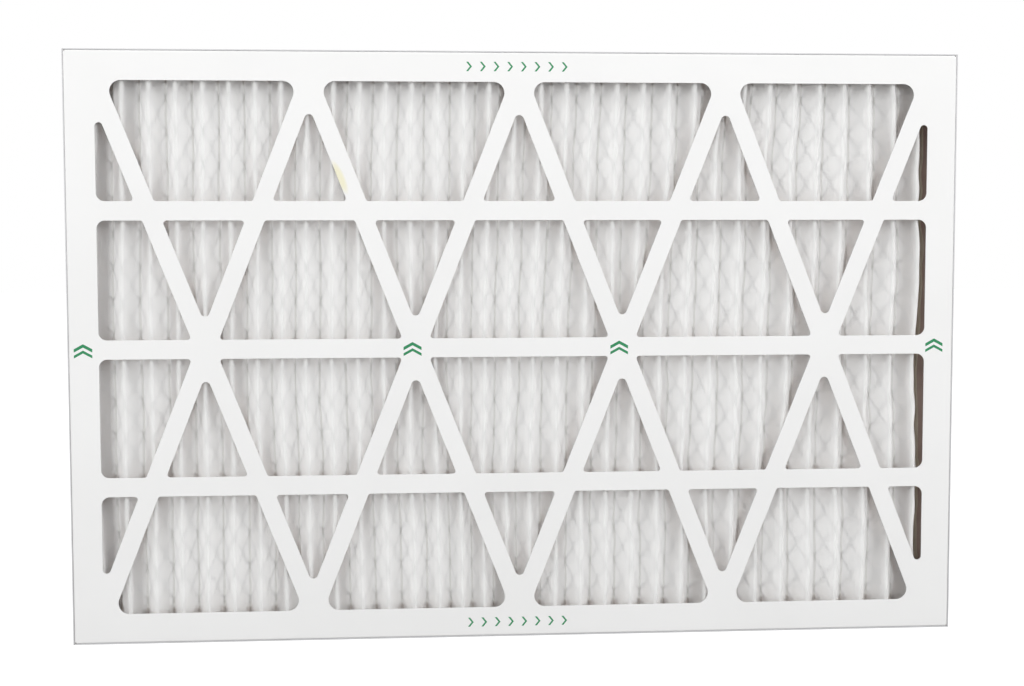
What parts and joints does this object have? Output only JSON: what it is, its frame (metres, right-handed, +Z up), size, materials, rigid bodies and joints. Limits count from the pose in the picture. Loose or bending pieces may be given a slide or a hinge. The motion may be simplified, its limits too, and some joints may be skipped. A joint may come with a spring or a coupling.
{
  "type": "pleated panel air filter",
  "caption": "Rigid rectangular panel that filters air: a pleated fibre sheet on a folded metal support grid, glued between two die-cut board trays with crossing strips.",
  "frame": {"origin": "middle of the panel's bottom edge face, half way through its depth", "axes": "+X to the right along the long edge, seen from the front; +Y through the panel from the front face to the back, the way the air goes; +Z up the short edge, along the pleats"},
  "size_m": [0.5968, 0.0222, 0.3937],
  "materials": {
    "board": "white coated board, satin, brown inside",
    "media": "matte bonded fibre",
    "grid": "zinc-coated expanded metal",
    "glue": "dried adhesive, pale straw"
  },
  "bodies": {
    "root": {"front_frame": "board", "back_frame": "board", "media": "media", "support_grid": "grid", "front_strip_glue": "glue", "back_strip_glue": "glue", "top_edge_glue": "glue", "bottom_edge_glue": "glue", "left_edge_glue": "glue", "right_edge_glue": "glue"}
  },
  "joints": []
}
